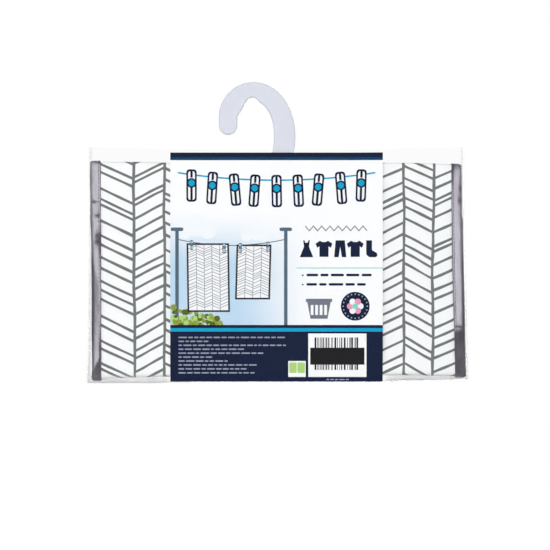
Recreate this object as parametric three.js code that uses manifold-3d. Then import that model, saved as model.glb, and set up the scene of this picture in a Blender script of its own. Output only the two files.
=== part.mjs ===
// A peg bag as it is sold: a bound cloth bag hung on its moulded hanger, folded once,
// wrapped in a printed card and slipped into an open-topped pouch of clear film.
// Millimetres, +Z up. The origin is the hook's seat, where a washing line carries the pack,
// and the face that a shopper sees looks along -Y.
import * as THREE from "three";
import { mergeVertices } from "three/addons/utils/BufferGeometryUtils.js";
import Module from "manifold-3d";

// Peg bag
const BAG_WIDTH = 297; // across the bound side edges
const BAG_HEIGHT = 305; // top fold to bottom edge, opened out
const FOLDED_HEIGHT = 174; // top fold to the packing fold
const FLAP_DROP = 98; // top fold to the flap's lower edge
const FLAP_SIDE = 46; // top fold to where the flap's corner starts
const FLAP_CORNER = 50; // how far in the corner reaches
const FLAP_TAIL = 2; // flat run past the top fold, before the flap's own binding
const MOUTH_DROP = 34; // top fold to the pocket mouth
const CLOTH = 0.6; // coated polyester
const TAPE = 0.6; // binding tape
const BINDING_WIDTH = 8.5; // tape on each face of a bound edge
const SEAM_INSET = 1.6; // tape's inner edge to the seam
const THREAD = 0.3; // how far a seam stands proud of its tape
const THREAD_WIDTH = 0.6;
const SLIT_EASE = 1; // room at each end of the slit for the hook's neck

// Hanger, one flat moulding: hook, neck and bar
const HANGER_THICKNESS = 3;
const EDGE_ROUND = 1.2; // rounded edge of the moulding
const SEAT_RADIUS = 5.2; // notch that sits on the line
const SEAT_WRAP = THREE.MathUtils.degToRad(70); // notch's arc to each side of its top
const CROWN = 12.4; // material above the seat
const CROWN_OFFSET = 1; // hook's highest point, to the shaft side of the seat
const TIP_GAP = 12.2; // seat to the tip arm's inner edge
const TIP_ARM_WIDTH = 14.8;
const TIP_SHOULDER = 15.6; // seat down to where the tip arm runs straight
const TIP_DROP = 22.6; // seat down to the middle of the round tip
const SHAFT_GAP = 17.2; // seat to the shaft's inner edge
const SHAFT_WIDTH = 17.2;
const SHAFT_SHOULDER = 31; // seat down to where the shaft is furthest out
const NECK_LEAN = 4; // how far the neck leans back by the bar
const BAR_HEIGHT = 18;
const BAR_END_GAP = 4; // bar's end to the side binding

// Where the bag hangs
const HOOK_RISE = 50.4; // bag's top fold to the seat
const BAG_OFFSET = 19.2; // bag's middle, to the shaft side of the seat

// Card, folded to a U around the bag
const CARD_WIDTH = 170;
const CARD = 0.5;
const CARD_RISE = 6; // card's top edge above the bag's top fold
const CARD_SLACK = 3; // room under the packing fold

// Pouch, two films welded at the sides and folded across the bottom
const FILM = 0.2;
const POUCH_RISE = 9.6; // pouch's mouth above the bag's top fold
const SIDE_SLACK = 0.8; // bound edge to the film beside it
const SIDE_SLOPE = 0.8; // how far a side widens from face to weld
const WELD_LIP = 1.2; // flat weld down each side

const FIT = 0.3; // clearance between pieces that lie against each other

const FOLD_STEPS = 4; // half the straight runs in a fold
const CURVE_STEPS = 10; // straight runs in a curve of a flat outline

const FINISH = {
  cloth: { color: "#f4f5f6", roughness: 0.7, metalness: 0 },
  tape: { color: "#3f3d43", roughness: 0.8, metalness: 0 },
  thread: { color: "#35333a", roughness: 0.8, metalness: 0 },
  polypropylene: { color: "#dfe1ea", roughness: 0.4, metalness: 0 },
  card: { color: "#f7f8f9", roughness: 0.45, metalness: 0 },
  film: { color: "#e9ebee", roughness: 0.12, metalness: 0, transparent: true, opacity: 0.2 },
};

// Joins and cuts of closed geometries

const wasm = await Module();
wasm.setup();

function solidOf(geometry) {
  const bare = geometry.clone();
  bare.deleteAttribute("normal");
  bare.deleteAttribute("uv");
  const merged = mergeVertices(bare);
  return new wasm.Manifold(
    new wasm.Mesh({
      numProp: 3,
      vertProperties: merged.attributes.position.array,
      triVerts: new Uint32Array(merged.index.array),
    }),
  );
}

function geometryOf(solid) {
  const mesh = solid.getMesh();
  const geometry = new THREE.BufferGeometry();
  geometry.setAttribute("position", new THREE.BufferAttribute(mesh.vertProperties, 3));
  geometry.setIndex(new THREE.BufferAttribute(mesh.triVerts, 1));
  geometry.computeVertexNormals();
  return geometry;
}

function join(...geometries) {
  const solids = geometries.map(solidOf);
  return geometryOf(solids.reduce((whole, next) => whole.add(next)));
}

function cut(geometry, tool) {
  return geometryOf(solidOf(geometry).subtract(solidOf(tool)));
}

// Flat shapes extruded along the three axes

const X = new THREE.Vector3(1, 0, 0);
const Y = new THREE.Vector3(0, 1, 0);
const Z = new THREE.Vector3(0, 0, 1);
const SHAPE_IN_YZ = new THREE.Matrix4().makeBasis(Y, Z, X);
const SHAPE_IN_XZ = new THREE.Matrix4().makeBasis(X, Z, Y.clone().negate());

function extrude(shape, depth, bevel = { bevelEnabled: false }) {
  return new THREE.ExtrudeGeometry(shape, { depth, curveSegments: CURVE_STEPS, ...bevel });
}

// A shape drawn in Y and Z.
function alongX(shape, x0, x1) {
  return extrude(shape, x1 - x0).applyMatrix4(SHAPE_IN_YZ).translate(x0, 0, 0);
}

// A shape drawn in X and Z.
function alongY(shape, y0, y1) {
  return extrude(shape, y1 - y0).applyMatrix4(SHAPE_IN_XZ).translate(0, y1, 0);
}

// A shape drawn in X and Y.
function alongZ(shape, z0, z1) {
  return extrude(shape, z1 - z0).translate(0, 0, z0);
}

function outline(...corners) {
  return corners.map(([across, up]) => new THREE.Vector2(across, up));
}

function rectangle(left, low, right, high) {
  return new THREE.Shape(outline([left, low], [right, low], [right, high], [left, high]));
}

// The points of a path moved sideways, to its left where the distance is positive.
function offset(points, distance) {
  const last = points.length - 1;
  return points.map((point, i) => {
    const arriving = point.clone().sub(points[Math.max(i - 1, 0)]);
    const leaving = points[Math.min(i + 1, last)].clone().sub(point);
    const before = (i === 0 ? leaving : arriving).clone().normalize();
    const after = (i === last ? arriving : leaving).clone().normalize();
    const along = before.clone().add(after).normalize();
    const reach = distance / along.dot(before);
    return new THREE.Vector2(point.x - along.y * reach, point.y + along.x * reach);
  });
}

// The band between two sideways offsets of a path, such as one layer of a folded cloth.
function band(points, from, to) {
  return new THREE.Shape([...offset(points, from), ...offset(points, to).reverse()]);
}

// Layers of the folded bag, from the shopper's side to the back. The hanger's middle plane is
// y = 0 and the bag's top fold z = 0. Each value is the y of the layer's front face.

const upperBackY = -(HANGER_THICKNESS / 2 + FIT + CLOTH);
const upperFrontY = HANGER_THICKNESS / 2 + FIT;
const flapY = upperFrontY + CLOTH + TAPE + THREAD + FIT + TAPE;
const lowerFrontY = flapY + CLOTH + TAPE + THREAD + FIT + TAPE;
const lowerBackY = lowerFrontY + CLOTH + FIT;

const bagFrontY = upperBackY - TAPE - THREAD;
const bagBackY = lowerBackY + CLOTH + TAPE + THREAD;

const halfWidth = BAG_WIDTH / 2;
const clothHalf = halfWidth - TAPE;
const bindingInner = halfWidth - BINDING_WIDTH;
const mouthZ = -MOUTH_DROP;
const bottomEdgeZ = BAG_HEIGHT - 2 * FOLDED_HEIGHT - CLOTH; // under the turned bottom edge

const pocketBackY = upperBackY + CLOTH; // inside of the upper back panel
const packingRadius = (lowerBackY - pocketBackY) / 2; // inside of the packing fold
const packingY = pocketBackY + packingRadius;
const packingZ = -FOLDED_HEIGHT + CLOTH + packingRadius;

const frontFaceY = upperFrontY + CLOTH; // pocket front's outer face
const frontFoldRadius = (lowerFrontY - frontFaceY) / 2;
const frontFoldY = frontFaceY + frontFoldRadius;

const topRadius = (flapY - pocketBackY) / 2; // inside of the top fold
const topY = pocketBackY + topRadius;
const topZ = -CLOTH - topRadius;
const flapTopZ = topZ - FLAP_TAIL;

// Back panel's inside, from above the bag's bottom edge, round the packing fold and up to a level.
function backPathTo(level) {
  const path = new THREE.Path();
  path.moveTo(lowerBackY, bottomEdgeZ);
  path.lineTo(lowerBackY, packingZ);
  path.absarc(packingY, packingZ, packingRadius, 0, -Math.PI, true);
  path.lineTo(pocketBackY, level);
  return path;
}

// The same path, on over the top fold to where the flap's own binding starts.
function wholeBackPath() {
  const path = backPathTo(topZ);
  path.absarc(topY, topZ, topRadius, Math.PI, 0, true);
  path.lineTo(flapY, flapTopZ);
  return path.getPoints(FOLD_STEPS);
}

// Pocket front's outer face, from the mouth, round the packing fold to the bottom edge.
function frontPath() {
  const path = new THREE.Path();
  path.moveTo(frontFaceY, mouthZ);
  path.lineTo(frontFaceY, packingZ);
  path.absarc(frontFoldY, packingZ, frontFoldRadius, Math.PI, 2 * Math.PI, false);
  path.lineTo(lowerFrontY, bottomEdgeZ - FIT);
  return path.getPoints(FOLD_STEPS);
}

// Edge of the flap's cloth, down the left side, along the bottom and up the right side.
const flapHalf = clothHalf - FIT;

function flapEdge(top) {
  const path = new THREE.Path();
  path.moveTo(-flapHalf, top);
  path.lineTo(-flapHalf, -FLAP_SIDE);
  path.quadraticCurveTo(-flapHalf, -FLAP_DROP, -flapHalf + FLAP_CORNER, -FLAP_DROP);
  path.lineTo(flapHalf - FLAP_CORNER, -FLAP_DROP);
  path.quadraticCurveTo(flapHalf, -FLAP_DROP, flapHalf, -FLAP_SIDE);
  path.lineTo(flapHalf, top);
  return path.getPoints(CURVE_STEPS);
}

const backLayer = wholeBackPath();
const frontLayer = frontPath();
const flapBorder = flapEdge(flapTopZ - FIT);

// Hanger

const tipOuter = -TIP_GAP - TIP_ARM_WIDTH;
const shaftOuter = SHAFT_GAP + SHAFT_WIDTH;
const barTopZ = -HOOK_RISE + topZ + Math.sqrt(2 * topRadius * FIT - FIT ** 2) - FIT;

function hangerOutline() {
  const neckMiddleZ = (barTopZ - SHAFT_SHOULDER) / 2;
  const barRound = BAR_HEIGHT / 2;
  const barReach = bindingInner - BAR_END_GAP - barRound;
  const tipMiddle = -TIP_GAP - TIP_ARM_WIDTH / 2;
  const seatStart = Math.PI / 2 - SEAT_WRAP;
  const seatEdgeX = SEAT_RADIUS * Math.cos(seatStart);
  const seatEdgeZ = SEAT_RADIUS * Math.sin(seatStart) - SEAT_RADIUS;

  const shape = new THREE.Shape();
  shape.moveTo(tipOuter, -TIP_DROP);
  shape.lineTo(tipOuter, -TIP_SHOULDER);
  shape.absellipse(
    CROWN_OFFSET, -TIP_SHOULDER,
    CROWN_OFFSET - tipOuter, CROWN + TIP_SHOULDER,
    Math.PI, Math.PI / 2, true,
  );
  shape.absellipse(
    CROWN_OFFSET, -SHAFT_SHOULDER,
    shaftOuter - CROWN_OFFSET, CROWN + SHAFT_SHOULDER,
    Math.PI / 2, 0, true,
  );
  shape.quadraticCurveTo(shaftOuter, neckMiddleZ, shaftOuter - NECK_LEAN, barTopZ);
  shape.absarc(BAG_OFFSET + barReach, barTopZ - barRound, barRound, Math.PI / 2, -Math.PI / 2, true);
  shape.absarc(BAG_OFFSET - barReach, barTopZ - barRound, barRound, -Math.PI / 2, Math.PI / 2, true);
  shape.lineTo(SHAFT_GAP - NECK_LEAN, barTopZ);
  shape.quadraticCurveTo(SHAFT_GAP, neckMiddleZ, SHAFT_GAP, -SHAFT_SHOULDER);
  shape.quadraticCurveTo(SHAFT_GAP, -2 * SEAT_RADIUS, seatEdgeX, seatEdgeZ);
  shape.absarc(0, -SEAT_RADIUS, SEAT_RADIUS, seatStart, Math.PI - seatStart, false);
  shape.lineTo(-TIP_GAP, -TIP_SHOULDER);
  shape.lineTo(-TIP_GAP, -TIP_DROP);
  shape.absarc(tipMiddle, -TIP_DROP, TIP_ARM_WIDTH / 2, 0, -Math.PI, true);
  return shape;
}

function hanger() {
  const rounded = {
    bevelThickness: EDGE_ROUND,
    bevelSize: EDGE_ROUND,
    bevelOffset: -EDGE_ROUND,
    bevelSegments: 3,
  };
  const flat = HANGER_THICKNESS - 2 * EDGE_ROUND;
  return extrude(hangerOutline(), flat, rounded).applyMatrix4(SHAPE_IN_XZ).translate(0, flat / 2, 0);
}

// Cloth

// One cloth: lower back, packing fold, upper back, top fold with the neck's slit, and flap. Its
// lower end turns over the pocket front to close the bag's bottom edge.
function backPanel() {
  const strip = alongX(band(backLayer, 0, CLOTH), -clothHalf, clothHalf);
  const turnedEdge = rectangle(lowerFrontY, bottomEdgeZ, lowerBackY + CLOTH, bottomEdgeZ + CLOTH);
  const edge = alongX(turnedEdge, -clothHalf, clothHalf);
  const flap = alongY(new THREE.Shape(flapEdge(topZ)), flapY, flapY + CLOTH);
  const slit = rectangle(
    SHAFT_GAP - NECK_LEAN - SLIT_EASE - BAG_OFFSET, pocketBackY,
    shaftOuter + SLIT_EASE - BAG_OFFSET, upperFrontY,
  );
  return cut(join(strip, edge, flap), alongZ(slit, topZ, CLOTH));
}

function frontPanel() {
  return alongX(band(frontLayer, -CLOTH, 0), -clothHalf, clothHalf);
}

// Bindings

// A side tape: one leg over the back panel, one over the pocket front and a web round the edge.
function sideBinding(side) {
  const legFrom = side < 0 ? -halfWidth : bindingInner;
  const legTo = side < 0 ? -bindingInner : halfWidth;
  const webFrom = side < 0 ? -halfWidth : clothHalf;
  const webTo = side < 0 ? -clothHalf : halfWidth;
  const outerEdge = offset(backPathTo(mouthZ).getPoints(FOLD_STEPS), CLOTH + TAPE);
  const web = new THREE.Shape([...outerEdge, ...offset(frontLayer, TAPE)]);
  return join(
    alongX(band(backLayer, CLOTH, CLOTH + TAPE), legFrom, legTo),
    alongX(band(frontLayer, 0, TAPE), legFrom, legTo),
    alongX(web, webFrom, webTo),
  );
}

function sideSeam(side) {
  const seamMiddle = side * (bindingInner + SEAM_INSET + THREAD_WIDTH / 2);
  const seam = band(backLayer, CLOTH + TAPE, CLOTH + TAPE + THREAD);
  return alongX(seam, seamMiddle - THREAD_WIDTH / 2, seamMiddle + THREAD_WIDTH / 2);
}

function flapBinding() {
  const leg = band(flapBorder, -FIT, BINDING_WIDTH);
  const web = band(flapBorder, -FIT - TAPE, -FIT);
  return join(
    alongY(leg, flapY - TAPE, flapY),
    alongY(leg, flapY + CLOTH, flapY + CLOTH + TAPE),
    alongY(web, flapY - TAPE, flapY + CLOTH + TAPE),
  );
}

function flapSeam() {
  const inner = BINDING_WIDTH - SEAM_INSET;
  const seamY = flapY + CLOTH + TAPE;
  return alongY(band(flapBorder, inner - THREAD_WIDTH, inner), seamY, seamY + THREAD);
}

const mouthHalf = bindingInner - FIT;

function mouthBinding() {
  const lowZ = mouthZ - BINDING_WIDTH;
  const overEdge = outline(
    [upperFrontY, lowZ],
    [upperFrontY, mouthZ],
    [frontFaceY, mouthZ],
    [frontFaceY, lowZ],
  );
  return alongX(band(overEdge, 0, TAPE), -mouthHalf, mouthHalf);
}

function mouthSeam() {
  const seamY = frontFaceY + TAPE;
  const seamZ = mouthZ - BINDING_WIDTH + SEAM_INSET;
  const seam = rectangle(seamY, seamZ, seamY + THREAD, seamZ + THREAD_WIDTH);
  return alongX(seam, -mouthHalf, mouthHalf);
}

// Card

const cardFrontY = upperBackY - FIT; // inside of its front
const cardBackY = lowerBackY + CLOTH + FIT; // inside of its back
const cardFloorZ = -FOLDED_HEIGHT - CARD_SLACK; // inside of its base

function card() {
  const inside = outline(
    [cardFrontY, CARD_RISE],
    [cardFrontY, cardFloorZ],
    [cardBackY, cardFloorZ],
    [cardBackY, CARD_RISE],
  );
  return alongX(band(inside, -CARD, 0), -CARD_WIDTH / 2, CARD_WIDTH / 2);
}

// Pouch

const filmFrontY = Math.min(bagFrontY, cardFrontY - CARD) - FIT; // inside of the front film
const filmBackY = Math.max(bagBackY, cardBackY + CARD) + FIT; // inside of the back film
const weldY = (filmFrontY + filmBackY) / 2;
const filmFloorZ = cardFloorZ - CARD - FIT; // inside of the bottom fold

const filmCorner = halfWidth + SIDE_SLACK; // where a film turns back beside the bag
const pouchLowZ = filmFloorZ - FILM;

// A flat film, whose face away from the bag is at outerY.
function film(innerY, outerY) {
  const face = rectangle(-filmCorner, pouchLowZ, filmCorner, POUCH_RISE);
  return alongY(face, Math.min(innerY, outerY), Math.max(innerY, outerY));
}

// Both films turned in beside the bag, down one side, and the flat lip that they are welded to.
function sideWeld(side) {
  const wall = filmCorner + SIDE_SLOPE;
  const lip = wall + FILM + WELD_LIP;
  const section = outline(
    [filmCorner, filmFrontY],
    [wall, weldY],
    [filmCorner, filmBackY],
    [filmCorner, filmBackY + FILM],
    [wall + FILM, weldY + FILM],
    [lip, weldY + FILM],
    [lip, weldY - FILM],
    [wall + FILM, weldY - FILM],
    [filmCorner, filmFrontY - FILM],
  );
  section.forEach((point) => point.setX(side * point.x));
  return alongZ(new THREE.Shape(section), pouchLowZ, POUCH_RISE);
}

function bottomFold() {
  return alongZ(rectangle(-filmCorner, filmFrontY, filmCorner, filmBackY), pouchLowZ, filmFloorZ);
}

// Assembly

function piece(name, finish, geometry) {
  const mesh = new THREE.Mesh(geometry, new THREE.MeshStandardMaterial(finish));
  mesh.name = name;
  return mesh;
}

const bag = new THREE.Group();
bag.add(
  piece("back_panel", FINISH.cloth, backPanel()),
  piece("front_panel", FINISH.cloth, frontPanel()),
  piece("left_binding", FINISH.tape, sideBinding(-1)),
  piece("right_binding", FINISH.tape, sideBinding(1)),
  piece("flap_binding", FINISH.tape, flapBinding()),
  piece("mouth_binding", FINISH.tape, mouthBinding()),
  piece("left_seam_thread", FINISH.thread, sideSeam(-1)),
  piece("right_seam_thread", FINISH.thread, sideSeam(1)),
  piece("flap_seam_thread", FINISH.thread, flapSeam()),
  piece("mouth_seam_thread", FINISH.thread, mouthSeam()),
);

const wrapping = new THREE.Group();
wrapping.add(
  piece("card", FINISH.card, card()),
  piece("front_film", FINISH.film, film(filmFrontY, filmFrontY - FILM)),
  piece("back_film", FINISH.film, film(filmBackY, filmBackY + FILM)),
  piece("left_weld", FINISH.film, sideWeld(-1)),
  piece("right_weld", FINISH.film, sideWeld(1)),
  piece("bottom_fold", FINISH.film, bottomFold()),
);

const pack = new THREE.Group();
pack.position.set(BAG_OFFSET, 0, -HOOK_RISE);
pack.add(bag, wrapping);

const group = new THREE.Group();
group.add(piece("hanger", FINISH.polypropylene, hanger()), pack);

export default group;
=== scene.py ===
"""Looks of a folded peg bag in its shop pack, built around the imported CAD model.

Shapes are written in millimetres in the bag's own frame: x from the bag's middle, y towards the back
and z from the bag's top fold. place() takes them to metres in the row frame.
"""
from math import ceil, copysign, cos, dist, pi, radians, sin, tau

import bpy
import numpy as np
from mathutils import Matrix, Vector, geometry, noise


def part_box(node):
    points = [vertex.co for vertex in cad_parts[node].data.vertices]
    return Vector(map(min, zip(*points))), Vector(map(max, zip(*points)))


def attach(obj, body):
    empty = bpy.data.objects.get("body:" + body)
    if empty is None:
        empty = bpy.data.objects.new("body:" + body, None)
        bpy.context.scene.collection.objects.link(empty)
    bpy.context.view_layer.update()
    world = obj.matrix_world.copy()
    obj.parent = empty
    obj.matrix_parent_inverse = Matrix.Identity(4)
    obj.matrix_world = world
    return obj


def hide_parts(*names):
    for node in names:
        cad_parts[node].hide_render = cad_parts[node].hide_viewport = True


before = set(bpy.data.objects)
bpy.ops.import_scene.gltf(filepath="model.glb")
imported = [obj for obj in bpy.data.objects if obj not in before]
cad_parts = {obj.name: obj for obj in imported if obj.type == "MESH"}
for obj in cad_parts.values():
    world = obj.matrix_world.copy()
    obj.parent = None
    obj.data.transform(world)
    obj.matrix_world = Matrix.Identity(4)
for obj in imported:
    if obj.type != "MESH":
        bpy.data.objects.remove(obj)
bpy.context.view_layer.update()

MM = 0.001


def new_object(name, data):
    """A new object in the scene."""
    made = bpy.data.objects.new(name, data)
    bpy.context.collection.objects.link(made)
    return made


# Camera, square to the front of the pack

VIEW_ACROSS = 0.44  # width of the picture at the front film
LENS = 100
SENSOR = 36
VIEW_CENTRE = Vector((0.018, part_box("front_film")[0].y, -0.1424))

lens = bpy.data.cameras.new("front_camera")
lens.lens = LENS
lens.sensor_width = SENSOR
camera = new_object("front_camera", lens)
camera.location = VIEW_CENTRE - Vector((0, VIEW_ACROSS * LENS / SENSOR, 0))
camera.rotation_euler = (radians(90), 0, 0)
bpy.context.scene.camera = camera
bpy.context.scene.view_settings.view_transform = "Standard"

# Sizes, in millimetres

CLOTH = 0.6
TAPE = 0.5
CARD = 0.5
FILM = 0.12
BINDING_WIDTH = 8.5
SEAM_INSET = 1.6
FLAP_SIDE = 46  # top fold to where the flap's corner starts
FLAP_CORNER = 50  # how far in the corner reaches
MOUTH_Z = -34  # pocket mouth
BAR_CLEAR_Z = -34  # cloth stays flat above this, so that the hanger's bar can slide in it
BOTTOM_EDGE_Z = -43.6  # the bag's bottom edge, turned up behind the pack
SLIT = (-7.0, 16.2)  # ends of the hanger's slit in the top fold
SLIT_HALF = 1.8  # half its width

MIDDLE_X = (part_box("card")[0].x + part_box("card")[1].x) / 2 / MM
TOP_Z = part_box("back_panel")[1].z / MM


def node_box(node):
    """A node's lowest and highest corners in the bag's millimetres."""
    shift = Vector((MIDDLE_X, 0, TOP_Z))
    return [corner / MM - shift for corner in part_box(node)]


panel_low, panel_high = node_box("back_panel")
front_low, front_high = node_box("front_panel")
flap_low, flap_high = node_box("flap_binding")
card_low, card_high = node_box("card")
film_low, film_high = node_box("left_weld")[0], node_box("right_weld")[1]

BAG_HALF = node_box("right_binding")[1].x
CLOTH_HALF = panel_high.x
UPPER_BACK_Y = panel_low.y + CLOTH / 2  # middles of the cloth layers, front to back
POCKET_Y = front_low.y + CLOTH / 2
FLAP_Y = (flap_low.y + flap_high.y) / 2
LOWER_FRONT_Y = front_high.y - CLOTH / 2
LOWER_BACK_Y = panel_high.y - CLOTH / 2
FOLD_Z = panel_low.z + CLOTH / 2  # cloth's lowest line, at the packing fold
FLAP_DROP = -flap_low.z - TAPE
TOP_RADIUS = (FLAP_Y - UPPER_BACK_Y) / 2
TOP_Y = (FLAP_Y + UPPER_BACK_Y) / 2
TOP_ARC_Z = -CLOTH / 2 - TOP_RADIUS

TOP_SQUARE = 0.65  # folds are pressed: 1 is round, less is squarer
TAPE_SQUARE = 0.32
FOLD_SQUARE = 0.6

# bound edges pull both cloths of the bag together
PINCH = 1.35  # how far each cloth bends in
PINCH_WIDTH = 14
PINCH_DROPS = 20, 45  # top fold to where this starts and is complete

# rise of the packing fold's lowest line, from the bag's left side to its right
FOLD_LIFT = [(-148, -2.1), (-115, -0.4), (-89, 0.3), (0, 1.2), (85, 1.4), (102, 1.5)]
FOLD_LIFT += [(125, 1.1), (150, 0.6)]
# sag of the top fold, from the left side to the right, and how much more its ends droop
TOP_SAG = ((-148, 0.9), (-110, 1.1), (-85, 1.9), (130, 1.9))
LEFT_DROOP, RIGHT_DROOP = 0.5, 2.2
# shift of the bag's side edges to the right, by their depth from the top fold, 0, to the packing fold, 1
LEFT_LEAN = ((0, -0.85), (0.18, -0.7), (0.26, -1.1), (0.38, -0.15), (0.6, 0.1), (1, 0.6))
RIGHT_LEAN = ((0, -0.1), (0.37, 0.8), (0.6, 2.1), (1, 3.4))
EDGE_WAVER = 0.4  # how far the side edges waver
EDGE_WAVE = 38  # length of their waves


def place(points):
    """Points in the bag's millimetres as metres in the row frame."""
    return (np.asarray(points, float) + (MIDDLE_X, 0, TOP_Z)) * MM


def ease(values, start, end):
    """0 before start, 1 after end and a smooth rise between them."""
    share = np.clip((np.asarray(values, float) - start) / (end - start), 0, 1)
    return share * share * (3 - 2 * share)


def drift(seed, across, along):
    """Smooth noise, about -1 to 1, over two arrays of coordinates."""
    across, along = np.broadcast_arrays(across, along)
    values = [noise.noise((a, b, seed)) for a, b in zip(across.ravel(), along.ravel())]
    return np.array(values).reshape(across.shape)


def read_off(pairs, at):
    """Values at some places, read off between pairs of a place and its value."""
    return np.interp(at, *zip(*pairs))


def run_length(points):
    """Length along a line of points, or along each column of a grid, from its first row."""
    steps = np.linalg.norm(np.diff(points, axis=0), axis=-1)
    return np.concatenate([0 * steps[:1], np.cumsum(steps, axis=0)])


def xyz(x, y, z):
    """Points from an array or a number for each coordinate."""
    return np.stack(np.broadcast_arrays(x, y, z), axis=-1)


def headings(path):
    """Unit directions along a line of points."""
    ways = np.gradient(path, axis=0)
    return ways / np.linalg.norm(ways, axis=-1)[:, None]


def settle(points):
    """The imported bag's lean: its sides shift to the right lower down, its fold hangs lower on the left
    and its top corners droop."""
    x, y, z = np.moveaxis(np.asarray(points, float), -1, 0)
    depth = np.clip(z / FOLD_Z, 0, 1)
    side = x / BAG_HALF
    right = side > 0
    lean = np.where(right, read_off(RIGHT_LEAN, depth) * side**8, read_off(LEFT_LEAN, depth) * side**4)
    waver = EDGE_WAVER * drift(41.0, z / EDGE_WAVE, np.sign(side) * 2) * side**8
    droop = np.where(right, RIGHT_DROOP, LEFT_DROOP) * side**8 + read_off(TOP_SAG, x)
    rise = read_off(FOLD_LIFT, x) * depth**3 - droop * (1 - depth) ** 8
    return xyz(x + lean + waver, y, z + rise)


# Materials


def colour(code):
    """Linear colour of an sRGB hex code."""
    shares = [int(code[i : i + 2], 16) / 255 for i in (1, 3, 5)]
    linear = [s / 12.92 if s <= 0.04045 else ((s + 0.055) / 1.055) ** 2.4 for s in shares]
    return (*linear, 1.0)


def node_adder(holder):
    """A function that adds shader nodes to a material or a world, which starts with none."""
    holder.use_nodes = True
    tree = holder.node_tree
    tree.nodes.clear()

    def add(kind, inputs=(), operation=None, **settings):
        """Adds a node. An input is a value, a socket, or a node whose first output it takes."""
        node = tree.nodes.new("ShaderNode" + kind)
        if operation:
            node.operation = operation
        for name, value in settings.items():
            setattr(node, name, value)
        named = inputs.items() if isinstance(inputs, dict) else enumerate(inputs)
        for name, value in named:
            source = value.outputs[0] if isinstance(value, bpy.types.Node) else value
            if isinstance(source, bpy.types.NodeSocket):
                tree.links.new(source, node.inputs[name])
            else:
                node.inputs[name].default_value = source
        return node

    return add


def new_material(name, finish, *choices):
    """A material whose shader comes from a finish, a function of a node adder and some choices."""
    material = bpy.data.materials.new(name)
    add = node_adder(material)
    add("OutputMaterial", [finish(add, *choices)])
    return material


def two_tones(add, share, *tones):
    """A colour that goes from one tone to another by a share. A tone is a hex code or a node's colour."""
    first, second = [colour(tone) if isinstance(tone, str) else tone for tone in tones]
    return add("Mix", {"Factor": share, 6: first, 7: second}, data_type="RGBA").outputs[2]


CLOTH_WHITES = "#f5f6f8", "#f9fafa"
PRINT_GREYS = "#626868", "#717777"
INK_SPOT = 0.909  # spots of more and less ink
COLUMN_PITCH = 24.4  # herringbone columns
COLUMN_PHASE = 5.75  # column count at the bag's middle
COLUMN_WIDENING = 0.08  # how far that count strays, so that columns are wider towards the bag's sides
COLUMN_SHIFT = 17.3  # lines that a column is out of step with the one before
LINE_SPACING = 9.4  # mean drop between the slanted lines of a column
LINE_SLOPE = 0.5
LINE_SQUARE = 0.915  # distance square to a line for each millimetre of drop
LINE_SCATTER = 0.66  # how unevenly the lines are spaced, 0 to 1
LINE_WIDTH = 2.1
LINE_SWELL = 0.8  # how much the width changes
LINE_EDGE = 0.18  # half the width of a line's soft edge
WANDER = (3.5, 4, 0)  # how far the columns and the lines waver
WANDER_SIZE = 60
THREAD_PITCH = 0.9  # real threads are about 0.3, too fine to show
RIB_PITCH = 1.1  # ribs across the tape, real ones are about 0.4
PLY_PITCH = 0.5  # turns of the sewing thread


def weave(add, at):
    """Height of a plain weave, over coordinates in millimetres."""
    threads = {"Vector": at, "Scale": pi / THREAD_PITCH / 10}
    across, along = [add("TexWave", threads, bands_direction=way) for way in "XY"]
    return add("Math", [across, along], "MULTIPLY")


def herringbone(add, at):
    """How much ink covers the cloth: wavering columns of irregular slanted lines."""
    wander = add("TexNoise", {"Vector": at, "Scale": 1 / WANDER_SIZE, "Detail": 1.0})
    middle = (0.5, 0.5, 0.5)
    centred = add("VectorMath", [wander.outputs["Color"], middle], "SUBTRACT")
    moved = add("VectorMath", [centred, WANDER, at], "MULTIPLY_ADD")
    split = add("SeparateXYZ", [moved])
    across, along = split.outputs["X"], split.outputs["Y"]

    angle = add("Math", [across, pi / BAG_HALF], "MULTIPLY")
    widening = add("Math", [angle], "SINE")
    even = add("Math", [across, 1 / COLUMN_PITCH, COLUMN_PHASE], "MULTIPLY_ADD")
    count = add("Math", [widening, COLUMN_WIDENING, even], "MULTIPLY_ADD")
    column = add("Math", [count], "FLOOR")
    zigzag = add("Math", [count, 1.0], "PINGPONG")

    level = add("Math", [zigzag, -LINE_SLOPE * COLUMN_PITCH, along], "MULTIPLY_ADD")
    steps = add("Math", [level, 1 / LINE_SPACING], "MULTIPLY")
    own = add("Math", [column, COLUMN_SHIFT, steps], "MULTIPLY_ADD")
    scattered = {"W": own, "Scale": 1.0, "Randomness": LINE_SCATTER}
    lines = add("TexVoronoi", scattered, voronoi_dimensions="1D")
    slanted = add("Math", [lines, LINE_SPACING * LINE_SQUARE], "MULTIPLY")

    beside = add("Math", [count, 0.5], "PINGPONG")
    upright = add("Math", [beside, COLUMN_PITCH], "MULTIPLY")
    gap = add("Math", [slanted, upright], "MINIMUM")

    swell = add("TexNoise", {"Vector": at, "Scale": 1 / 14, "Detail": 1.0})
    thinnest = (LINE_WIDTH - LINE_SWELL) / 2
    reach = add("Math", [swell, LINE_SWELL, thinnest], "MULTIPLY_ADD")
    inside = add("Math", [reach, gap], "SUBTRACT")
    edge = {"Value": inside, "From Min": -LINE_EDGE, "From Max": LINE_EDGE}
    return add("MapRange", edge, interpolation_type="SMOOTHSTEP")


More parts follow.
